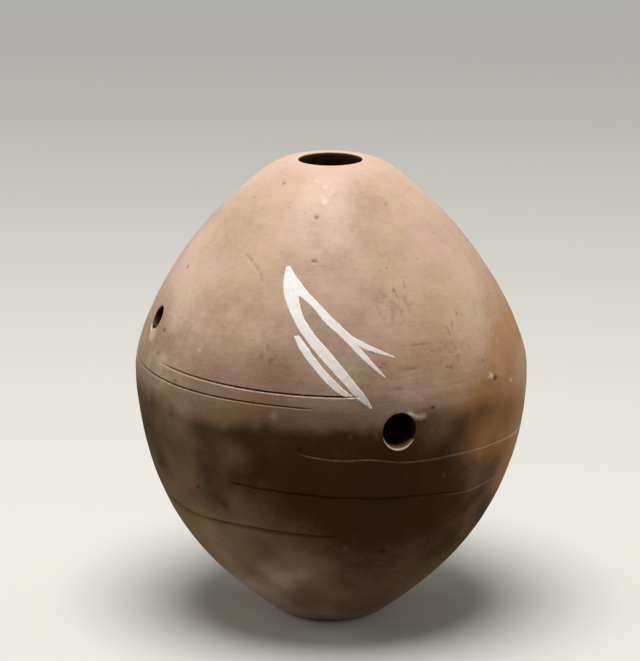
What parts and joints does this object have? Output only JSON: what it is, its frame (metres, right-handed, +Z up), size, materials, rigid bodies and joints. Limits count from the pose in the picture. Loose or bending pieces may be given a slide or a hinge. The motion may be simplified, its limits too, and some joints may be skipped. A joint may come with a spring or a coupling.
{
  "type": "vessel flute",
  "caption": "Egg-shaped fired-clay vessel flute with a blow hole on top, finger holes in its wall, a belt seam and brushed slip strokes.",
  "frame": {"origin": "middle of the flat foot, on the surface that the flute stands on", "axes": "+Z up along the vessel's axis through the blow hole, -Y towards the side with the front finger hole and the slip strokes, -X towards the side finger hole"},
  "size_m": [0.09, 0.0904, 0.1076],
  "materials": {
    "crown_clay": "burnished pinkish buff earthenware, unglazed, with a soft sheen",
    "seam_clay": "smoothed brown earthenware, unglazed",
    "bowl_clay": "smoked dark brown earthenware, mottled, unglazed",
    "foot_clay": "worn brown earthenware, unglazed",
    "corner_clay": "rough hand-pressed earthenware, unglazed",
    "white_slip": "matt white slip, brushed on and worn"
  },
  "bodies": {
    "root": {"crown_shell": "crown_clay", "seam_band": "seam_clay", "bowl_shell": "bowl_clay", "base_disc": "foot_clay", "corner_coil": "corner_clay", "long_slip_stroke": "white_slip", "short_slip_stroke": "white_slip", "forked_slip_stroke": "white_slip"}
  },
  "joints": []
}
